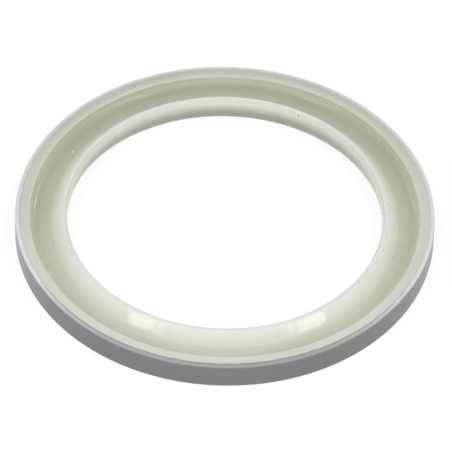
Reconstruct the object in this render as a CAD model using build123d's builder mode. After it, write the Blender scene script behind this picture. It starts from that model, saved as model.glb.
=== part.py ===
from build123d import *
import os
from math import asin, atan2, cos, degrees, hypot, radians, sin

# Sanitary clamp gasket for the 64 mm flange of a two inch tube: one moulded
# elastomer ring. From the outside in, its section is a tall collar, a groove
# that takes the rim of the flange, and a sealing lip that leans in over the
# bore. Millimetres, +Z up, with z = 0 on the flat underside and the origin on
# the ring's axis.

# Widths across the section, from the outside in
outer_diameter = 64.0  # the flange's own diameter
collar_width = 2.3
groove_width = 2.85  # flat floor and its fillets
lip_width = 2.85

# Heights
collar_height = 4.1  # underside to the collar's flat top
groove_depth = 1.6  # below the collar's flat top
lip_rise = 0.4  # crest of the lip above the collar's flat top

# Lip and bore
crest_round = 0.4  # tight round over the top of the lip
bore_round = 2.0  # slower round from the crest down to the throat
throat_drop = 0.8  # where that round turns upright, below the collar's flat top
throat_land = 0.5  # straight length of the throat
mouth_relief = 0.95  # how far the bore opens out below the land

# Land: the narrow band round the collar's outer edge, a fine step below the
# flat top and falling a little outwards
land_width = 0.78
land_step = 0.07
land_fall = 0.08

# Rounds and fillets
edge_round = 0.15  # collar's upper outer edge
brow_round = 0.3  # collar's upper inner edge
underside_round = 0.15  # both lower edges
groove_fillet = 1.0  # collar wall to groove floor
foot_fillet = 0.25  # groove floor to the lip's flank

# Radii and levels that follow
outer_radius = outer_diameter / 2
collar_inner_radius = outer_radius - collar_width
foot_radius = collar_inner_radius - groove_width
bore_radius = foot_radius - lip_width  # 24.0 at the throat
mouth_radius = bore_radius + mouth_relief
land_radius = outer_radius - land_width
floor_level = collar_height - groove_depth
throat_level = collar_height - throat_drop
lip_top = collar_height + lip_rise

# The crest's round touches the inside of the bore's round, and its top is the lip's top
round_offset = bore_round - crest_round
crest_turn = 180 - degrees(asin((lip_top - crest_round - throat_level) / round_offset))
bore_centre = (bore_radius + bore_round, throat_level)
crest_centre = (
    bore_centre[0] + round_offset * cos(radians(crest_turn)),
    bore_centre[1] + round_offset * sin(radians(crest_turn)),
)

# The flank runs from the lip's foot to a tangent on the crest's round
foot_to_crest = (foot_radius - crest_centre[0], crest_centre[1] - floor_level)
flank_angle = degrees(
    atan2(foot_to_crest[1], foot_to_crest[0]) + asin(crest_round / hypot(*foot_to_crest))
)

# Corners of the section that are rounded after it is drawn
collar_outer_corner = (outer_radius, collar_height - land_step - land_fall)
collar_inner_corner = (collar_inner_radius, collar_height)
collar_foot = (collar_inner_radius, floor_level)
lip_foot = (foot_radius, floor_level)
groove_fillet_limit = 0.95 * (groove_depth - brow_round)

with BuildPart() as gasket:
    with BuildSketch(Plane.XZ) as section:
        with BuildLine():
            crest = CenterArc(crest_centre, crest_round, 90 - flank_angle, crest_turn - 90 + flank_angle)
            bore_side = CenterArc(bore_centre, bore_round, crest_turn, 180 - crest_turn)
            land = Line(bore_side @ 1, (bore_radius, throat_level - throat_land))
            bore_wall = TangentArc(land @ 1, (mouth_radius, 0), tangent=(0, -1))
            Polyline(
                bore_wall @ 1,
                (outer_radius, 0),
                collar_outer_corner,
                (land_radius, collar_height - land_step),
                (land_radius, collar_height),
                collar_inner_corner,
                collar_foot,
                lip_foot,
                crest @ 0,
            )
        make_face()
        fillet(section.vertices().group_by(Axis.Y)[0], underside_round)
        fillet(section.vertices().sort_by_distance(collar_outer_corner)[0], edge_round)
        fillet(section.vertices().sort_by_distance(collar_inner_corner)[0], brow_round)
        fillet(
            section.vertices().sort_by_distance(collar_foot)[0],
            min(groove_fillet, groove_fillet_limit),
        )
        fillet(section.vertices().sort_by_distance(lip_foot)[0], foot_fillet)
    revolve(axis=Axis.Z)

gasket.part.label = "gasket"

os.makedirs("parts", exist_ok=True)
export_step(gasket.part, "parts/gasket.step")
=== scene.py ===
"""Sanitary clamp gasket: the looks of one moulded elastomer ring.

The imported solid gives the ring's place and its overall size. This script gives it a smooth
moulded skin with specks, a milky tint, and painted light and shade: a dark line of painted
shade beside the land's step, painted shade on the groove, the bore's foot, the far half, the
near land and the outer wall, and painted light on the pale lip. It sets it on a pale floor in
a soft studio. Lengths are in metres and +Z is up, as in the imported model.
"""

import logging
import math
from dataclasses import dataclass
from enum import Enum

import bpy
import numpy as np
from mathutils import Matrix, Quaternion, Vector


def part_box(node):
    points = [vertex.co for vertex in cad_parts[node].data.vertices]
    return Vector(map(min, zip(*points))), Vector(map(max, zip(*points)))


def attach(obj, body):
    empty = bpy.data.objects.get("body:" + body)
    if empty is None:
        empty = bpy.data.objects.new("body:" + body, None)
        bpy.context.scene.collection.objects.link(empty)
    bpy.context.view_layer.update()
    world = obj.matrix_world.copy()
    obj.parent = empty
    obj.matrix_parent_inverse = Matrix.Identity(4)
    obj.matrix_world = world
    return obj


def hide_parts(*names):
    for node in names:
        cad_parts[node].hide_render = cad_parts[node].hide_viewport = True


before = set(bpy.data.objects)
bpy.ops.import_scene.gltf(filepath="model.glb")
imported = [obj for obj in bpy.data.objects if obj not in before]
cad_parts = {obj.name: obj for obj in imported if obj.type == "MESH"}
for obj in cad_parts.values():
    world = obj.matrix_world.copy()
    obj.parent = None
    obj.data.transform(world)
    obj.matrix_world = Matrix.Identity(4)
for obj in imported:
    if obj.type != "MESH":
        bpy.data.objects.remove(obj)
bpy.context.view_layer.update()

LOG = logging.getLogger("gasket")
MM = 0.001
NODE = "gasket"

Point = tuple[float, float]
Colour = tuple[float, float, float, float]


class Side(Enum):
    """Which side of the ring a lamp stands on."""

    LEFT = -1
    RIGHT = 1


class Blemish(Enum):
    """What a small mark on the skin is, and the colour it has."""

    SPECK = (0.12, 0.10, 0.08, 1.0)
    NICK = (0.90, 0.91, 0.86, 1.0)
    SMUDGE = (0.52, 0.52, 0.45, 1.0)


class Mixing(Enum):
    """How one colour goes over another."""

    COVER = "MIX"
    TINT = "MULTIPLY"


# ---------------------------------------------------------------- curves


def straight(start: np.ndarray, end: np.ndarray, steps: int) -> np.ndarray:
    """Points inside a straight run, spaced by half a cosine wave so that they crowd at its ends.

    Args:
        start: The run's first point, which isn't repeated.
        end: The run's last point, which isn't repeated.
        steps: How many points lie between them.

    Returns:
        An array of (radius, height) rows.
    """
    share = 0.5 - 0.5 * np.cos(np.pi * np.arange(1, steps + 1) / (steps + 1))
    return start + share[:, None] * (end - start)


def bowed(start: np.ndarray, end: np.ndarray, leans: np.ndarray) -> np.ndarray:
    """Points inside a run whose slope changes on the way.

    The run is the running sum of unit steps that fall at the given slopes, turned and
    stretched, as one complex number, so that it goes from start to end.

    Args:
        start: The run's first point, which isn't repeated.
        end: The run's last point, which isn't repeated.
        leans: The slope of each step, in degrees below level.

    Returns:
        An array of (radius, height) rows, one fewer than the steps.
    """
    path = np.cumsum(np.exp(-1j * np.radians(leans)))
    first = complex(*start)
    path = first + path * (complex(*end) - first) / path[-1]
    return np.stack([path.real, path.imag], axis=1)[:-1]


def ease(share: np.ndarray) -> np.ndarray:
    """0 below 0, 1 above 1, and 3 s squared less 2 s cubed between."""
    held = np.clip(share, 0, 1)
    return held * held * (3 - 2 * held)


def wander(angles: np.ndarray, waves: tuple[int, ...], seed: int) -> np.ndarray:
    """A smooth random line round the ring: a sum of whole sine waves of random phase.

    Each wave's height is one over the root of its number, and the sum is scaled to run
    from about -1 to 1.

    Args:
        angles: Where it is wanted, in radians.
        waves: How many whole waves each term has round the ring.
        seed: Starts the random phases.

    Returns:
        One number for each angle.
    """
    numbers = np.array(waves, dtype=float)
    phases = np.random.default_rng(seed).uniform(0, 2 * np.pi, len(waves))
    terms = np.sin(angles[:, None] * numbers + phases) / np.sqrt(numbers)
    return terms.sum(axis=1) / np.sqrt((1 / numbers).sum())


@dataclass(frozen=True)
class Bend:
    """One round of the section, and the straight run that follows it.

    The angles are in degrees from straight outwards. Steps counts the gaps between the
    round's points, and run counts the points inside the straight run. A round that is joined
    leaves out its last point, because the next round starts there. A round that strays goes
    in and out with the land's step.
    """

    centre: Point
    radius: float
    start: float
    end: float
    steps: int
    run: int = 0
    joined: bool = False
    strays: bool = False

    def points(self) -> np.ndarray:
        """The centre plus radius times each angle's cosine and sine.

        Returns:
            An array of (radius, height) rows.
        """
        angles = np.radians(np.linspace(self.start, self.end, self.steps + 1))
        angles = angles[: self.steps] if self.joined else angles
        return self.centre + self.radius * np.stack([np.cos(angles), np.sin(angles)], axis=1)


# ---------------------------------------------------------------- shading


@dataclass(frozen=True)
class Fade:
    """Where a smooth change starts and ends, measured from an edge of the ring."""

    start: float
    end: float


@dataclass(frozen=True)
class Tone:
    """The skin's colour at one place along a run of the section."""

    at: float
    colour: tuple[float, float, float]


class Shade:
    """A number on its way through a material's nodes, used like a Python number."""

    def __init__(self, desk: "NodeDesk", socket: bpy.types.NodeSocket) -> None:
        """Keeps the socket that the number comes out of."""
        self.desk = desk
        self.socket = socket

    def _math(self, operation: str, first: "Shade | float", second: "Shade | float") -> "Shade":
        """Adds one Math node and returns its result."""
        made = self.desk.node("ShaderNodeMath", {"operation": operation}, {0: first, 1: second})
        return Shade(self.desk, made.outputs[0])

    def __add__(self, other: "Shade | float") -> "Shade":
        """This plus other."""
        return self._math("ADD", self, other)

    def __radd__(self, other: float) -> "Shade":
        """Other plus this."""
        return self._math("ADD", other, self)

    def __sub__(self, other: "Shade | float") -> "Shade":
        """This less other."""
        return self._math("SUBTRACT", self, other)

    def __rsub__(self, other: float) -> "Shade":
        """Other less this."""
        return self._math("SUBTRACT", other, self)

    def __mul__(self, other: "Shade | float") -> "Shade":
        """This times other."""
        return self._math("MULTIPLY", self, other)

    def __rmul__(self, other: float) -> "Shade":
        """Other times this."""
        return self._math("MULTIPLY", other, self)

    def smooth(self, low: "Shade | float", high: "Shade | float") -> "Shade":
        """A smooth step from 0 where this is low to 1 where it is high.

        Args:
            low: Where the step starts.
            high: Where it ends. Below low, the step falls instead.

        Returns:
            The stepped number.
        """
        made = self.desk.node(
            "ShaderNodeMapRange",
            {"interpolation_type": "SMOOTHSTEP"},
            {"Value": self, "From Min": low, "From Max": high},
        )
        return Shade(self.desk, made.outputs["Result"])

    def fade(self, over: Fade, edge: float = 0.0) -> "Shade":
        """A smooth step from 0 at the fade's start to 1 at its end, both measured from edge."""
        return self.smooth(edge + over.start, edge + over.end)


class NodeDesk:
    """Lays out the nodes of a material or of the world."""

    def __init__(self, owner: bpy.types.Material | bpy.types.World) -> None:
        """Starts with the owner's nodes cleared away.

        Args:
            owner: The material or world that the nodes belong to.
        """
        self.owner = owner
        owner.use_nodes = True
        self.tree = owner.node_tree
        self.tree.nodes.clear()

    def node(
        self, kind: str, settings: dict | None = None, values: dict | None = None
    ) -> bpy.types.Node:
        """Adds one node.

        Args:
            kind: The node's type.
            settings: Properties of the node, set first. A colour ramp's stops come under
                "stops", as pairs of place and colour.
            values: Each socket's value, or what is linked to it, by name or number.

        Returns:
            The new node.
        """
        made = self.tree.nodes.new(kind)
        for name, setting in (settings or {}).items():
            if name == "stops":
                self._stops(made.color_ramp.elements, setting)
            else:
                setattr(made, name, setting)
        for name, value in (values or {}).items():
            if isinstance(value, Shade):
                value = value.socket
            if isinstance(value, bpy.types.NodeSocket):
                self.tree.links.new(value, made.inputs[name])
            else:
                made.inputs[name].default_value = value
        return made

    @staticmethod
    def _stops(held: bpy.types.ColorRampElements, wanted: list[tuple[float, Colour]]) -> None:
        """Gives a ramp its stops.

        Args:
            held: The ramp's own stops, at first two.
            wanted: The place and colour of each stop, in order.
        """
        while len(held) < len(wanted):
            held.new(1.0)
        for stop, (place, _) in zip(held, wanted):
            stop.position = place
        for stop, (_, colour) in zip(held, wanted):
            stop.color = colour

    def blend(
        self,
        factor: Shade,
        first: bpy.types.NodeSocket | Colour,
        second: bpy.types.NodeSocket | Colour,
        how: Mixing = Mixing.COVER,
    ) -> bpy.types.NodeSocket:
        """Lays one colour over another.

        Args:
            factor: How far the second colour counts, from 0 to 1.
            first: The colour underneath.
            second: The colour on top.
            how: Whether the second covers the first or tints it.

        Returns:
            The blended colour's socket.
        """
        made = self.node(
            "ShaderNodeMix",
            {"data_type": "RGBA", "blend_type": how.value},
            {0: factor, 6: first, 7: second},
        )
        return made.outputs[2]

    def run(self, place: Shade, tones: tuple[Tone, ...]) -> bpy.types.NodeSocket:
        """A colour that follows a run of tones as place goes from the first to the last.

        Args:
            place: Where on the run the surface is, in metres.
            tones: The run's tones, in order.

        Returns:
            The colour's socket.
        """
        first, last = tones[0].at, tones[-1].at
        stops = [((tone.at - first) / (last - first), (*tone.colour, 1.0)) for tone in tones]
        share = (place - first) * (1 / (last - first))
        made = self.node("ShaderNodeValToRGB", {"stops": stops}, {"Fac": share})
        return made.outputs["Color"]

    def noise(self, place: bpy.types.NodeSocket, scale: float, detail: float) -> Shade:
        """A smooth noise from 0 to 1 over the place, with that many waves to a unit of length."""
        values = {"Vector": place, "Scale": scale, "Detail": detail}
        return Shade(self, self.node("ShaderNodeTexNoise", None, values).outputs["Fac"])

    def finish(self, surface: bpy.types.NodeSocket) -> bpy.types.Material | bpy.types.World:
        """Links the surface to the output.

        Args:
            surface: The socket of the finished shader.

        Returns:
            What the nodes belong to.
        """
        for_world = isinstance(self.owner, bpy.types.World)
        kind = "ShaderNodeOutputWorld" if for_world else "ShaderNodeOutputMaterial"
        self.node(kind, None, {"Surface": surface})
        return self.owner


class Spot:
    """Where on the ring a point of the skin lies, as numbers in its material.

    The radius is the length of the point's place with its height left out, and outwards is
    that flat place at a length of 1. Back is the place along Y in outer radii: -1 at the
    ring's near edge and 1 at its far edge.
    """

    def __init__(self, desk: NodeDesk, ring: "Gasket") -> None:
        """Works the numbers out from the object's own coordinates.

        Args:
            desk: The desk of the skin's material.
            ring: The ring that the skin is on.
        """
        self.desk = desk
        self.ring = ring
        self.place = desk.node("ShaderNodeTexCoord").outputs["Object"]
        level = desk.node(
            "ShaderNodeVectorMath", {"operation": "MULTIPLY"}, {0: self.place, 1: (1, 1, 0)}
        ).outputs[0]
        length = desk.node("ShaderNodeVectorMath", {"operation": "LENGTH"}, {0: level})
        unit = desk.node("ShaderNodeVectorMath", {"operation": "NORMALIZE"}, {0: level})
        axes = desk.node("ShaderNodeSeparateXYZ", None, {"Vector": self.place})
        self.outwards = unit.outputs[0]
        self.radius = Shade(desk, length.outputs["Value"])
        self.height = Shade(desk, axes.outputs["Z"])
        self.back = Shade(desk, axes.outputs["Y"]) * (1 / ring.outer_radius)


@dataclass(frozen=True)
class Mark:
    """One small blemish at a fixed place on the skin."""

    kind: Blemish
    angle: float
    radius: float
    height: float
    reach: float
    core: float = 0.4

    def lay(self, spot: Spot, colour: bpy.types.NodeSocket) -> bpy.types.NodeSocket:
        """Lays the mark over the skin, full in its core and fading out over its reach.

        Its centre is the radius turned by the angle, in degrees from +X, at its height.

        Args:
            spot: Where on the ring the skin is.
            colour: The skin's colour without the mark.

        Returns:
            The colour with the mark.
        """
        turn = math.radians(self.angle)
        centre = (self.radius * math.cos(turn), self.radius * math.sin(turn), self.height)
        away = spot.desk.node(
            "ShaderNodeVectorMath", {"operation": "DISTANCE"}, {0: spot.place, 1: centre}
        )
        near = Shade(spot.desk, away.outputs["Value"]).smooth(self.reach, self.core * self.reach)
        return spot.desk.blend(near, colour, self.kind.value)


# The skin's tones from the crest out to the land, by radius, with painted light and shade in
# them: the lip's flank painted pale as painted light, the crest a little darker, the groove's
# floor painted darker and greener as painted shade, and the collar's inner wall painted lighter
# as painted light
ACROSS_WITH_PAINTED_LIGHT = (
    Tone(24.45 * MM, (0.765, 0.765, 0.720)),
    Tone(24.65 * MM, (0.760, 0.760, 0.715)),
    Tone(25.00 * MM, (0.845, 0.848, 0.800)),
    Tone(25.60 * MM, (0.835, 0.835, 0.765)),
    Tone(26.40 * MM, (0.790, 0.798, 0.700)),
    Tone(26.95 * MM, (0.700, 0.713, 0.610)),
    Tone(27.50 * MM, (0.645, 0.658, 0.555)),
    Tone(28.40 * MM, (0.605, 0.620, 0.510)),
    Tone(28.95 * MM, (0.635, 0.660, 0.532)),
    Tone(29.35 * MM, (0.685, 0.710, 0.590)),
    Tone(29.62 * MM, (0.785, 0.808, 0.700)),
    Tone(29.80 * MM, (0.700, 0.720, 0.635)),
    Tone(31.20 * MM, (0.690, 0.708, 0.640)),
)

# Its tones on the bore's side, from the mouth up to the crest, by height, with painted light and
# shade in them: darker and greener towards the mouth as painted shade, and palest just below
# the crest as painted light
DOWN_THE_BORE_WITH_PAINTED_LIGHT = (
    Tone(0.40 * MM, (0.590, 0.620, 0.475)),
    Tone(1.60 * MM, (0.630, 0.650, 0.505)),
    Tone(2.40 * MM, (0.705, 0.725, 0.580)),
    Tone(3.00 * MM, (0.850, 0.865, 0.730)),
    Tone(3.60 * MM, (0.955, 0.950, 0.880)),
    Tone(4.05 * MM, (0.880, 0.875, 0.805)),
    Tone(4.40 * MM, (0.785, 0.783, 0.730)),
)


@dataclass(frozen=True)
class MilkyElastomer:
    """Smooth milky elastomer, a little see-through.

    The thin lip lets light through, and its pale colour is also painted light. The groove and
    the foot of the bore are painted darker and greener as painted shade. The outer wall is painted
    dull grey as painted shade, and the land above it paler, with painted shade on its near side.
    """

    # Painted shade: the outer wall's dark grey stands in for the shade on a wall turned from the
    # lamps
    wall: Colour = (0.300, 0.307, 0.300, 1.0)
    land: Colour = (0.830, 0.835, 0.820, 1.0)
    # Painted shade: the land's darker colour on the near side
    shaded_near_land: Colour = (0.425, 0.433, 0.415, 1.0)
    underside: Colour = (0.620, 0.635, 0.540, 1.0)
    # Painted shade: the dark line beside the land's step
    line: Colour = (0.330, 0.336, 0.320, 1.0)
    # Painted shade: darkens and greens the far half's groove and collar
    painted_far_shade: Colour = (0.755, 0.770, 0.715, 1.0)
    mottle: Colour = (0.940, 0.940, 0.940, 1.0)
    refraction: float = 1.43

    # Roughness of the glossy lip and groove and of the satin collar, and how far it varies
    gloss: float = 0.05
    satin: float = 0.30
    gloss_spread: float = 0.02

    # Light that goes in and comes out again: its share, and its reach by red, green and blue
    glow: float = 0.4
    glow_depth: float = 0.8 * MM
    glow_spread: tuple[float, float, float] = (1.0, 1.0, 0.7)

    # Noises: waves to a metre for the clouds and the grain, and to the ring's radius for the
    # streaks of the dark line of painted shade beside the land's step
    cloud_scale: float = 90.0
    cloud_detail: float = 3.0
    grain_scale: float = 2500.0
    grain_detail: float = 2.0
    grain_height: float = 0.005 * MM
    grain_strength: float = 0.25
    streak_scale: float = 26.0
    streak_detail: float = 5.0
    clouding: Fade = Fade(0.45, 0.85)

    # The dark line of painted shade beside the land's step: how far it strays, its least share and
    # what streaks add to that, and the share it loses away from the near side
    line_stray: float = 0.35 * MM
    line_least: float = 0.35
    line_more: float = 0.9
    line_lost: float = 0.7

    # How much of the painted far-side shade the collar's top loses, how much of that the land
    # keeps, and how much the top gains outwards on the far side
    top_loses: float = 0.5
    land_keeps: float = 0.15
    outer_gain: float = 0.4

    # Fades from the near side to the far side, in outer radii along Y: off the painted shade on the
    # near land, off the near wall's higher brink of painted shade, and into the painted far-side
    # shade over the groove and the collar
    off_near_land: Fade = Fade(-0.95, -0.35)
    off_near_wall: Fade = Fade(-0.55, -0.05)
    to_far: Fade = Fade(-0.95, 0.65)
    to_far_collar: Fade = Fade(0.1, 0.7)

    # Fades by radius, measured from the bore, then from the lip's foot, the collar's inner
    # wall and the land's step, and the width of the wall's hem on the land's outer edge
    inside_crest: Fade = Fade(0.75 * MM, 0.35 * MM)

    inside_foot: Fade = Fade(-0.2 * MM, -0.8 * MM)
    down_flank: Fade = Fade(-1.6 * MM, 0.2 * MM)

    over_brow: Fade = Fade(-0.2 * MM, 0.1 * MM)
    out_from_brow: Fade = Fade(0.2 * MM, 1.2 * MM)
    onto_satin: Fade = Fade(-0.1 * MM, 0.3 * MM)

    over_step: Fade = Fade(-0.03 * MM, 0.03 * MM)
    into_line: Fade = Fade(-0.10 * MM, 0.04 * MM)
    out_of_line: Fade = Fade(0.32 * MM, 0.14 * MM)

    hem: float = 0.10 * MM

    # Fades by height, measured from the groove's floor, the ring's bottom and the outer
    # wall's brink, and how much lower that last one starts and ends away from the near side
    under_floor: Fade = Fade(0.0, -0.4 * MM)
    onto_underside: Fade = Fade(0.12 * MM, 0.04 * MM)
    over_brink: Fade = Fade(0.06 * MM, -0.05 * MM)
    brink_drop: Fade = Fade(0.11 * MM, 0.15 * MM)

    def build(self, ring: "Gasket") -> bpy.types.Material:
        """Makes the material.

        Args:
            ring: The ring it dresses, which gives the edges of its zones and its marks.

        Returns:
            The finished material.
        """
        desk = NodeDesk(bpy.data.materials.new("milky_elastomer"))
        spot = Spot(desk, ring)
        cloud = desk.noise(spot.place, self.cloud_scale, self.cloud_detail)
        colour = desk.blend(cloud.fade(self.clouding), self._zones(spot), self.mottle, Mixing.TINT)
        for mark in ring.marks:
            colour = mark.lay(spot, colour)

        dull = spot.radius.fade(self.onto_satin, ring.collar_inner)
        base = dull * (self.satin - self.gloss) + self.gloss
        grain = desk.noise(spot.place, self.grain_scale, self.grain_detail)
        bump = desk.node(
            "ShaderNodeBump",
            None,
            {"Strength": self.grain_strength, "Distance": self.grain_height, "Height": grain},
        )
        shader = desk.node(
            "ShaderNodeBsdfPrincipled",
            None,
            {
                "Base Color": colour,
                "Roughness": (cloud - 0.5) * self.gloss_spread + base,
                "IOR": self.refraction,
                "Subsurface Weight": self.glow,
                "Subsurface Radius": self.glow_spread,
                "Subsurface Scale": self.glow_depth,
                "Normal": bump.outputs["Normal"],
            },
        )
        return desk.finish(shader.outputs["BSDF"])

    def _zones(self, spot: Spot) -> bpy.types.NodeSocket:
        """Lays the zones' colours one over another: skin, bore, land, painted far-side shade,
        underside, wall.

        Args:
            spot: Where on the ring the skin is.

        Returns:
            The colour's socket.
        """
        desk, ring = spot.desk, spot.ring
        # Painted light and shade: the lip painted pale, the groove painted darker and greener
        skin = desk.run(spot.radius, ACROSS_WITH_PAINTED_LIGHT)
        # Painted light and shade on the bore's side: darker low down, palest just below the crest
        skin = desk.blend(self._on_bore(spot), skin, desk.run(spot.height, DOWN_THE_BORE_WITH_PAINTED_LIGHT))
        on_land = spot.radius.fade(self.over_step, ring.land_radius)
        skin = self._with_land(spot, on_land, skin)
        # Painted shade: the far half's groove and collar are darkened and greened
        skin = desk.blend(self._far_shade_strength(spot, on_land), skin, self.painted_far_shade, Mixing.TINT)
        skin = desk.blend(spot.height.fade(self.onto_underside), skin, self.underside)
        # Painted shade: the outer wall's dark grey, its top edge higher on the near side
        return desk.blend(self._on_wall(spot), skin, self.wall)

    def _on_bore(self, spot: Spot) -> Shade:
        """1 on the bore's side of the lip, 0 on the rest.

        The bore's side is inside the crest, or both inside the lip's foot and below the
        groove's floor.

        Args:
            spot: Where on the ring the skin is.

        Returns:
            How far the bore's tones count.
        """
        ring = spot.ring
        inside = spot.radius.fade(self.inside_crest, ring.bore)
        under = spot.height.fade(self.under_floor, ring.floor)
        below = spot.radius.fade(self.inside_foot, ring.foot) * under
        return 1.0 - (1.0 - inside) * (1.0 - below)

    def _with_land(
        self, spot: Spot, on_land: Shade, skin: bpy.types.NodeSocket
    ) -> bpy.types.NodeSocket:
        """Adds the land, painted darker on the near side as painted shade and pale on the rest, and a
        dark line of painted shade beside its step.

        The line strays in and out, and comes and goes, by a noise that changes only round
        the ring.

        Args:
            spot: Where on the ring the skin is.
            on_land: 1 on the land, 0 inside it.
            skin: The colour without the land.

        Returns:
            The colour with the land and its line.
        """
        desk, step = spot.desk, spot.ring.land_radius
        # Painted shade: the land is painted darker on the near side, and pale on the rest
        away = spot.back.fade(self.off_near_land)
        skin = desk.blend(on_land, skin, desk.blend(away, self.shaded_near_land, self.land))
        # Painted shade: a dark line beside the step, strongest on the near side and broken up by
        # streaks
        streaks = desk.noise(spot.outwards, self.streak_scale, self.streak_detail)
        strayed = spot.radius - (streaks - 0.5) * self.line_stray
        in_line = strayed.fade(self.into_line, step) * strayed.fade(self.out_of_line, step)
        strength = self.line_more * streaks + self.line_least
        return desk.blend(in_line * strength * (1.0 - self.line_lost * away), skin, self.line)

    def _far_shade_strength(self, spot: Spot, on_land: Shade) -> Shade:
        """How strong the painted far-side shade is, from 0 on the near side to 1 in the far side's
        groove.

        Args:
            spot: Where on the ring the skin is.
            on_land: 1 on the land, 0 inside it.

        Returns:
            The shade's strength.
        """
        brow = spot.ring.collar_inner
        groove = spot.back.fade(self.to_far) * spot.radius.fade(self.down_flank, spot.ring.foot)
        level = spot.radius.fade(self.over_brow, brow)
        outer = spot.back.fade(self.to_far_collar) * spot.radius.fade(self.out_from_brow, brow)
        kept = 1.0 - self.top_loses * level + self.land_keeps * on_land
        return groove * kept + self.outer_gain * outer * (1.0 - on_land)

    def _on_wall(self, spot: Spot) -> Shade:
        """1 on the outer wall, which is painted dark grey as painted shade, 0 on the rest.

        Args:
            spot: Where on the ring the skin is.

        Returns:
            How far the wall's colour counts.
        """
        ring = spot.ring
        # Painted shade: the wall's dark grey reaches higher on the near side
        away = spot.back.fade(self.off_near_wall)
        outside = spot.radius.smooth(ring.land_radius, ring.outer_radius - self.hem)
        start = ring.brink + self.over_brink.start - away * self.brink_drop.start
        end = ring.brink + self.over_brink.end - away * self.brink_drop.end
        return outside * spot.height.smooth(start, end)


# ---------------------------------------------------------------- the ring


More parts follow.
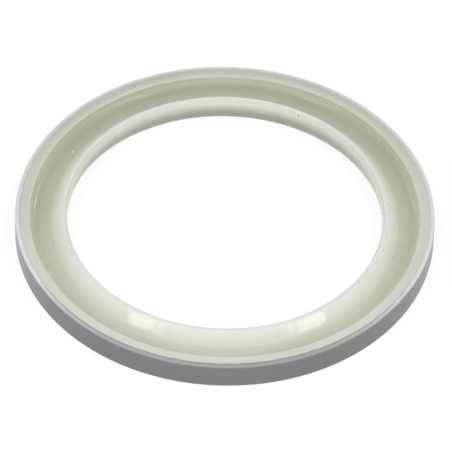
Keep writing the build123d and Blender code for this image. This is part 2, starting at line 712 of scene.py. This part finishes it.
@dataclass
class Gasket:
    """The moulded ring: its section, carried round the axis.

    The lip's crest stands above the collar by the lip's rise. The bore's round ends at the
    throat, which lies below the collar's top by the throat's drop. Below it comes a short
    straight land, and from there the bore opens by the mouth's relief. The flank is eased by
    a few degrees over a share of its length at the shoulder and at the foot.
    """

    outer_radius: float
    top: float
    marks: tuple[Mark, ...] = ()
    lip_rise: float = 0.4 * MM
    collar_width: float = 2.3 * MM
    groove_width: float = 2.85 * MM
    lip_width: float = 2.85 * MM
    groove_depth: float = 1.6 * MM
    crest_round: float = 0.4 * MM
    bore_round: float = 2.0 * MM
    throat_drop: float = 0.8 * MM
    throat_land: float = 0.5 * MM
    mouth_relief: float = 0.95 * MM
    land_width: float = 0.78 * MM
    land_step: float = 0.07 * MM
    land_fall: float = 0.08 * MM
    step_round: float = 0.02 * MM
    edge_round: float = 0.15 * MM
    brow_round: float = 0.3 * MM
    groove_fillet: float = 1.0 * MM
    foot_fillet: float = 0.25 * MM
    shoulder_turn: float = 6.0
    shoulder_share: float = 0.25
    foot_turn: float = 12.0
    foot_share: float = 0.45
    flank_steps: int = 20
    turns: int = 560

    # The land's step wanders by whole waves round the ring, more about the rough bearing,
    # where the flash was trimmed less evenly, and less by the even share elsewhere
    step_wander: float = 0.03 * MM
    step_waves: tuple[int, ...] = (5, 11, 23, 41, 67, 97)
    step_seed: int = 8
    rough_bearing: float = 0.15
    rough_spread: float = 0.5
    even_share: float = 0.35

    @property
    def collar_top(self) -> float:
        """Height of the collar's flat top."""
        return self.top - self.lip_rise

    @property
    def floor(self) -> float:
        """Height of the groove's floor."""
        return self.collar_top - self.groove_depth

    @property
    def throat(self) -> float:
        """Height where the bore's round meets the throat's land."""
        return self.collar_top - self.throat_drop

    @property
    def brink(self) -> float:
        """Height of the land's outer edge, its round left out."""
        return self.collar_top - self.land_step - self.land_fall

    @property
    def collar_inner(self) -> float:
        """Radius of the collar's inner wall."""
        return self.outer_radius - self.collar_width

    @property
    def foot(self) -> float:
        """Radius of the lip's foot."""
        return self.collar_inner - self.groove_width

    @property
    def bore(self) -> float:
        """Radius of the bore at its throat."""
        return self.foot - self.lip_width

    @property
    def land_radius(self) -> float:
        """Radius of the fine step on the collar's top."""
        return self.outer_radius - self.land_width

    def outline(self) -> tuple[np.ndarray, np.ndarray]:
        """The section as a closed run of points, the outside on its right hand.

        It goes over the crest to the throat, down the bore, out along the underside, up the
        outer wall and back over the collar, the groove and the lip's flank. Rounds are arcs
        tangent to their neighbours.

        Returns:
            The points as (radius, height) rows, and 1 for each point that goes with the
            land's step, 0 for the others.
        """
        hub = (self.bore + self.bore_round, self.throat)
        offset = self.bore_round - self.crest_round
        turn = math.pi - math.asin((self.top - self.crest_round - self.throat) / offset)
        crest = (hub[0] + offset * math.cos(turn), hub[1] + offset * math.sin(turn))
        run, rise = self.foot - crest[0], crest[1] - self.floor
        fall = math.atan2(rise, run) + math.asin(self.crest_round / math.hypot(run, rise))
        leans = self._leans(math.degrees(fall))
        heel = self.foot + self.foot_fillet * (1 - math.cos(fall)) / math.sin(fall)
        meet = math.degrees(turn)
        bends = [
            Bend(crest, self.crest_round, 90 - leans[0], meet, steps=15, joined=True),
            Bend(hub, self.bore_round, meet, 180, steps=9, run=3),
            *self._bore_bends(),
            *self._collar_bends(),
            Bend(
                (heel, self.floor + self.foot_fillet), self.foot_fillet, 270, 270 - leans[-1], steps=6
            ),
        ]
        rounds = [bend.points() for bend in bends]
        points: list[np.ndarray] = []
        strays: list[np.ndarray] = []
        for bend, here, onward in zip(bends, rounds, rounds[1:] + rounds[:1]):
            if bend is bends[-1]:
                between = bowed(onward[0], here[-1], leans)[::-1]
            else:
                between = straight(here[-1], onward[0], bend.run)
            points += [here, between]
            strays += [np.full(len(here), float(bend.strays)), np.zeros(len(between))]
        return np.concatenate(points), np.concatenate(strays)

    def _leans(self, fall: float) -> np.ndarray:
        """The flank's slope at even steps from the crest to the foot.

        Each slope is the straight flank's fall, less a turn that eases off down the shoulder
        and one that eases in towards the foot, plus their mean.

        Args:
            fall: The straight flank's slope, in degrees below level.

        Returns:
            One slope for each step, in degrees below level.
        """
        share = (np.arange(self.flank_steps) + 0.5) / self.flank_steps
        shoulder = self.shoulder_turn * (1 - ease(share / self.shoulder_share))
        foot = self.foot_turn * ease((share - (1 - self.foot_share)) / self.foot_share)
        turned = shoulder + foot
        return fall + turned.mean() - turned

    def _bore_bends(self) -> list[Bend]:
        """The bore below its throat's land, and the edge round at its mouth.

        The wall is an arc that leaves the land upright and opens by the relief.

        Returns:
            The two rounds, going down.
        """
        start = self.throat - self.throat_land
        radius = (self.mouth_relief**2 + start**2) / (2 * self.mouth_relief)
        centre = self.bore + radius
        drop = start - self.edge_round
        reach = math.sqrt((radius - self.edge_round) ** 2 - drop**2)
        swing = 180 + math.degrees(math.atan2(drop, reach))
        return [
            Bend((centre, start), radius, 180, swing, steps=25, joined=True),
            Bend((centre - reach, self.edge_round), self.edge_round, swing, 270, steps=5, run=7),
        ]

    def _collar_bends(self) -> list[Bend]:
        """The outer wall's two edges, the land's step, the brow and the groove's fillet.

        The round above the outer wall is tangent to the wall and to the land's fall.

        Returns:
            The rounds, going up the wall and back inwards.
        """
        edge, step = self.edge_round, self.step_round
        slope = math.atan2(self.land_fall, self.land_width)
        shoulder = self.brink - edge * (1 - math.sin(slope)) / math.cos(slope)
        low = (self.land_radius + step, self.collar_top - self.land_step + step)
        high = (self.land_radius - step, self.collar_top - step)
        brow = (self.collar_inner + self.brow_round, self.collar_top - self.brow_round)
        fillet = (self.collar_inner - self.groove_fillet, self.floor + self.groove_fillet)
        outer = self.outer_radius - edge
        return [
            Bend((outer, edge), edge, 270, 360, steps=6, run=8),
            Bend((outer, shoulder), edge, 0, 90 - math.degrees(slope), steps=6, run=6),
            Bend(low, step, 270, 180, steps=2, strays=True),
            Bend(high, step, 0, 90, steps=2, run=6, strays=True),
            Bend(brow, self.brow_round, 90, 180, steps=9, run=2),
            Bend(fillet, self.groove_fillet, 0, -90, steps=15, run=6),
        ]

    def build(self) -> bpy.types.Object:
        """Carries the section round the axis and dresses it.

        A point of the grid is (r cos a, r sin a, z): r and z come from the section, and a
        runs round the ring. The step's radius wanders by a sum of sine waves, times the even
        share plus the rest of it by a bell curve about the rough bearing.

        Returns:
            The ring's object.
        """
        section, strays = self.outline()
        angles = np.arange(self.turns) * 2 * np.pi / self.turns
        aside = np.angle(np.exp(1j * (angles - self.rough_bearing))) / self.rough_spread
        rough = self.even_share + (1 - self.even_share) * np.exp(-(aside**2))
        shift = self.step_wander * rough * wander(angles, self.step_waves, self.step_seed)
        radii = section[None, :, 0] + shift[:, None] * strays[None, :]
        heights = np.broadcast_to(section[None, :, 1], radii.shape)
        cosines, sines = np.cos(angles)[:, None], np.sin(angles)[:, None]
        ring = self._joined(np.stack([radii * cosines, radii * sines, heights], axis=2))
        ring.data.materials.append(MilkyElastomer().build(self))
        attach(ring, "root")
        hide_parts(NODE)
        return ring

    @staticmethod
    def _joined(points: np.ndarray) -> bpy.types.Object:
        """Joins a grid of points that closes both ways into a smooth mesh object.

        Each face goes round the ring first and along the section next, so it faces outwards.

        Args:
            points: The grid, as turns by section by (x, y, z).

        Returns:
            The object, in the scene.
        """
        turns, count = points.shape[:2]
        row = np.arange(turns)[:, None] * count
        following = (row + count) % (turns * count)
        along = np.arange(count)[None, :]
        beyond = (along + 1) % count
        corners = [row + along, following + along, following + beyond, row + beyond]
        mesh = bpy.data.meshes.new("gasket_ring")
        mesh.from_pydata(points.reshape(-1, 3), [], np.stack(corners, axis=2).reshape(-1, 4))
        mesh.shade_smooth()
        mesh.update()
        ring = bpy.data.objects.new("gasket_ring", mesh)
        bpy.context.scene.collection.objects.link(ring)
        return ring


# ---------------------------------------------------------------- the studio


@dataclass(frozen=True)
class Lamp:
    """A square soft box that faces the ring.

    The bearing, height and spin are in degrees, the distance, width and tall in metres, and
    the power in watts. The bearing runs from +X or -X, by its side, towards the camera when
    it is positive. The spin turns the box about the line to the ring.
    """

    name: str
    side: Side
    bearing: float
    height: float
    distance: float
    width: float
    tall: float
    power: float
    spin: float = 0.0

    def build(self) -> bpy.types.Object:
        """Hangs the lamp at its bearing and height, turned towards the ring.

        Returns:
            The lamp's object.
        """
        light = bpy.data.lights.new(self.name, "AREA")
        light.shape = "RECTANGLE"
        light.size, light.size_y = self.width, self.tall
        light.energy = self.power
        made = bpy.data.objects.new(self.name, light)
        across, up = math.radians(self.bearing), math.radians(self.height)
        level = math.cos(up)
        beside = self.side.value * math.cos(across) * level
        away = Vector((beside, -math.sin(across) * level, math.sin(up)))
        spin = Quaternion((0, 0, 1), math.radians(self.spin))
        made.location = away * self.distance
        made.rotation_mode = "QUATERNION"
        made.rotation_quaternion = away.to_track_quat("Z", "Y") @ spin
        bpy.context.scene.collection.objects.link(made)
        return made


def pair(name: str, spin: float = 0.0, **place: float) -> tuple[Lamp, ...]:
    """Two matching lamps, one on each side of the ring.

    Args:
        name: What both are called, before their side.
        spin: The right one's spin. The left one's is the opposite.
        place: The rest of what a Lamp takes.

    Returns:
        The left lamp and the right one.
    """
    return tuple(
        Lamp(f"{name}_{side.name.lower()}", side, spin=side.value * spin, **place) for side in Side
    )


@dataclass
class Studio:
    """A pale floor, soft lamps and the camera.

    The camera looks down by the elevation, its frame turned by the roll, and aims a little
    aside of the centre and below it. The floor lies a gap below the ring. It gives off the
    white glow to the eye and to gloss, and the touch glow to what lies within a few gaps.
    """

    centre: Vector
    distance: float = 0.9049
    elevation: float = 45.885
    roll: float = 1.469
    lens: float = 472.7
    sensor: float = 36.0
    nearest: float = 0.01
    furthest: float = 20.0
    aside: float = 0.206 * MM
    below: float = 1.979 * MM
    floor_size: float = 3.0
    floor_grey: float = 0.20
    gap: float = 0.05 * MM
    touch: Fade = Fade(0.40 * MM, 0.10 * MM)
    white_glow: float = 0.85
    touch_glow: float = 0.4
    ambient: float = 0.46

    def build(self, lamps: tuple[Lamp, ...]) -> None:
        """Makes the floor, the world, the lamps and the camera.

        Args:
            lamps: The lamps to hang.
        """
        self._floor()
        self._world()
        for lamp in lamps:
            lamp.build()
        self._camera()
        bpy.context.scene.view_settings.view_transform = "Standard"

    def _floor(self) -> None:
        """A flat square just below z = 0 that keeps the ring's shadow and is clear from below."""
        half, depth = self.floor_size / 2, -self.gap
        corners = [(x * half, y * half, depth) for x, y in ((-1, -1), (1, -1), (1, 1), (-1, 1))]
        mesh = bpy.data.meshes.new("floor")
        mesh.from_pydata(corners, [], [(0, 1, 2, 3)])
        floor = bpy.data.objects.new("floor", mesh)
        bpy.context.scene.collection.objects.link(floor)
        mesh.materials.append(self._pale_floor())

    def _pale_floor(self) -> bpy.types.Material:
        """The floor's finish: matt grey to the light, near white to the eye and to gloss.

        It lights what touches it, so that the underside can be looked at.

        Returns:
            The finished material.
        """
        desk = NodeDesk(bpy.data.materials.new("pale_floor"))
        seen = self._seen(desk)
        grey = (self.floor_grey,) * 3 + (1.0,)
        matt = desk.node("ShaderNodeBsdfDiffuse", None, {"Color": grey})
        path = desk.node("ShaderNodeLightPath")
        touching = Shade(desk, path.outputs["Ray Length"]).fade(self.touch)
        strength = seen * self.white_glow + (1.0 - seen) * touching * self.touch_glow
        white = desk.node("ShaderNodeEmission", None, {"Color": (1, 1, 1, 1), "Strength": strength})
        both = desk.node("ShaderNodeAddShader", None, {0: matt.outputs[0], 1: white.outputs[0]})
        clear = desk.node("ShaderNodeBsdfTransparent")
        under = desk.node("ShaderNodeNewGeometry").outputs["Backfacing"]
        pick = desk.node(
            "ShaderNodeMixShader", None, {0: under, 1: both.outputs[0], 2: clear.outputs[0]}
        )
        material = desk.finish(pick.outputs[0])
        material.cycles.emission_sampling = "NONE"
        return material

    @staticmethod
    def _seen(desk: NodeDesk) -> Shade:
        """Tells looking from lighting.

        Args:
            desk: The desk of the material that asks.

        Returns:
            1 where the eye, a reflection or a see-through part looks, 0 for other light.
        """
        path = desk.node("ShaderNodeLightPath")
        eye, gloss, through = (
            Shade(desk, path.outputs[name])
            for name in ("Is Camera Ray", "Is Glossy Ray", "Is Transmission Ray")
        )
        return 1.0 - (1.0 - eye) * (1.0 - gloss) * (1.0 - through)

    def _world(self) -> None:
        """Even ambient light, with a white background for the camera."""
        world = bpy.data.worlds.new("studio")
        bpy.context.scene.world = world
        desk = NodeDesk(world)
        eye = desk.node("ShaderNodeLightPath").outputs["Is Camera Ray"]
        grey = (self.ambient,) * 3 + (1.0,)
        dim = desk.node("ShaderNodeBackground", None, {"Color": grey})
        white = desk.node("ShaderNodeBackground", None, {"Color": (1, 1, 1, 1)})
        pick = desk.node(
            "ShaderNodeMixShader", None, {0: eye, 1: dim.outputs[0], 2: white.outputs[0]}
        )
        desk.finish(pick.outputs[0])

    def _camera(self) -> None:
        """A long lens that looks down on the ring, its frame turned a little by the roll."""
        tilt = math.radians(self.elevation)
        back = Vector((0, -math.cos(tilt), math.sin(tilt)))
        up = Vector((0, math.sin(tilt), math.cos(tilt)))
        data = bpy.data.cameras.new("camera")
        data.lens, data.sensor_width = self.lens, self.sensor
        data.clip_start, data.clip_end = self.nearest, self.furthest
        camera = bpy.data.objects.new("camera", data)
        camera.location = self.centre + back * self.distance
        aim = self.centre + Vector((self.aside, 0, 0)) - up * self.below
        facing = (camera.location - aim).to_track_quat("Z", "Y").to_matrix()
        turned = facing @ Matrix.Rotation(math.radians(self.roll), 3, "Z")
        camera.rotation_mode = "QUATERNION"
        camera.rotation_quaternion = turned.to_quaternion()
        bpy.context.scene.collection.objects.link(camera)
        bpy.context.scene.camera = camera


# ---------------------------------------------------------------- what is built

MARKS = (
    Mark(Blemish.SPECK, angle=62.9, radius=24.12 * MM, height=4.05 * MM, reach=0.17 * MM),
    Mark(Blemish.NICK, angle=150.2, radius=27.25 * MM, height=2.5 * MM, reach=0.14 * MM),
    Mark(Blemish.NICK, angle=149.7, radius=27.50 * MM, height=2.5 * MM, reach=0.17 * MM),
    Mark(Blemish.SMUDGE, angle=-15.0, radius=26.80 * MM, height=2.6 * MM, reach=0.20 * MM),
    Mark(Blemish.SMUDGE, angle=-15.4, radius=26.60 * MM, height=2.8 * MM, reach=0.18 * MM),
    Mark(Blemish.SMUDGE, angle=13.8, radius=26.20 * MM, height=3.2 * MM, reach=0.20 * MM),
    Mark(Blemish.SMUDGE, angle=5.8, radius=25.15 * MM, height=4.2 * MM, reach=0.22 * MM),
    Mark(Blemish.SMUDGE, angle=-16.2, radius=25.20 * MM, height=4.2 * MM, reach=0.18 * MM),
)

# Each lamp's bearing, height, distance, width, tall and power
LAMPS = (
    Lamp("back_sky", Side.RIGHT, -90, 45, 0.9, 1.20, 0.70, 0.50),
    Lamp("front_sky", Side.RIGHT, 90, 62, 0.35, 0.43, 0.24, 0.18),
    Lamp("front_low", Side.RIGHT, 90, 12, 0.9, 1.20, 0.34, 0.50),
    *pair("low", bearing=48, height=12, distance=0.9, width=0.90, tall=0.34, power=0.57),
    Lamp("side_left", Side.LEFT, 39, 33, 0.7, 0.17, 0.19, 0.46),
    Lamp("side_right", Side.RIGHT, 33.5, 32, 0.7, 0.18, 0.19, 0.52),
    Lamp("strip_left", Side.LEFT, 51, 36, 0.7, 0.05, 0.19, 0.07),
    Lamp("strip_right", Side.RIGHT, 47, 35, 0.7, 0.05, 0.19, 0.07),
    *pair("back", 20, bearing=-45, height=36, distance=0.7, width=0.03, tall=0.24, power=0.34),
    *pair("high", bearing=18, height=66, distance=0.7, width=0.12, tall=0.03, power=0.30),
)


def main() -> None:
    """Builds the ring and the studio, and notes the sizes."""
    logging.basicConfig(level=logging.INFO, format="%(message)s")
    low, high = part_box(NODE)
    gasket = Gasket(outer_radius=high.x, top=high.z, marks=MARKS)
    ring = gasket.build()
    LOG.info("%s: %d faces, bore %.2f mm", ring.name, len(ring.data.polygons), 2 * gasket.bore / MM)
    Studio(centre=Vector((0, 0, gasket.collar_top))).build(LAMPS)
    LOG.info("studio: %d lamps", len(LAMPS))


if __name__ == "__main__":
    main()
